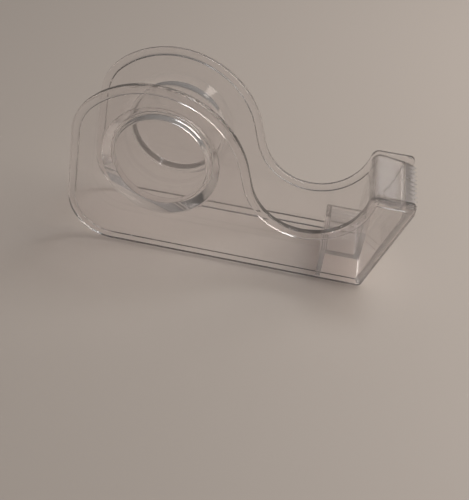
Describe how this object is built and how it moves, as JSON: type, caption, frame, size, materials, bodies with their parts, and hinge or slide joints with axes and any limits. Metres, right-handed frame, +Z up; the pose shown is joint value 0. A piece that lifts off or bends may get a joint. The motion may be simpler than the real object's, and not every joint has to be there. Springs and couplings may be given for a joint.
{
  "type": "tape dispenser",
  "caption": "Small clear hand dispenser for one narrow roll of adhesive tape, with spring-apart side walls, hub cones for the core and a toothed nose.",
  "frame": {"origin": "on the table under the middle of the dispenser: midway along its length, on the mid-plane between the side walls", "axes": "+X from the heel to the nose, +Y across to the left side wall, +Z up"},
  "size_m": [0.072, 0.0198, 0.0383],
  "materials": {
    "clear_wall": "clear, moulded gloss",
    "clear_nose": "clear, moulded gloss",
    "clear_cutter": "clear, finely toothed"
  },
  "bodies": {
    "nose": {"nose_piece": "clear_nose", "cutter_strip": "clear_cutter"},
    "right_side": {"right_side_wall": "clear_wall"},
    "left_side": {"left_side_wall": "clear_wall"}
  },
  "joints": [
    {"name": "right_side_flex", "type": "hinge", "parent": "nose", "child": "right_side", "pos_m": [0.03555, -0.00815, 0], "axis": [0, 0, 1], "range_deg": [0, 4], "stiffness_Nm_per_rad": 1},
    {"name": "left_side_flex", "type": "hinge", "parent": "nose", "child": "left_side", "pos_m": [0.03555, 0.00815, 0], "axis": [0, 0, -1], "range_deg": [0, 4], "stiffness_Nm_per_rad": 1}
  ]
}
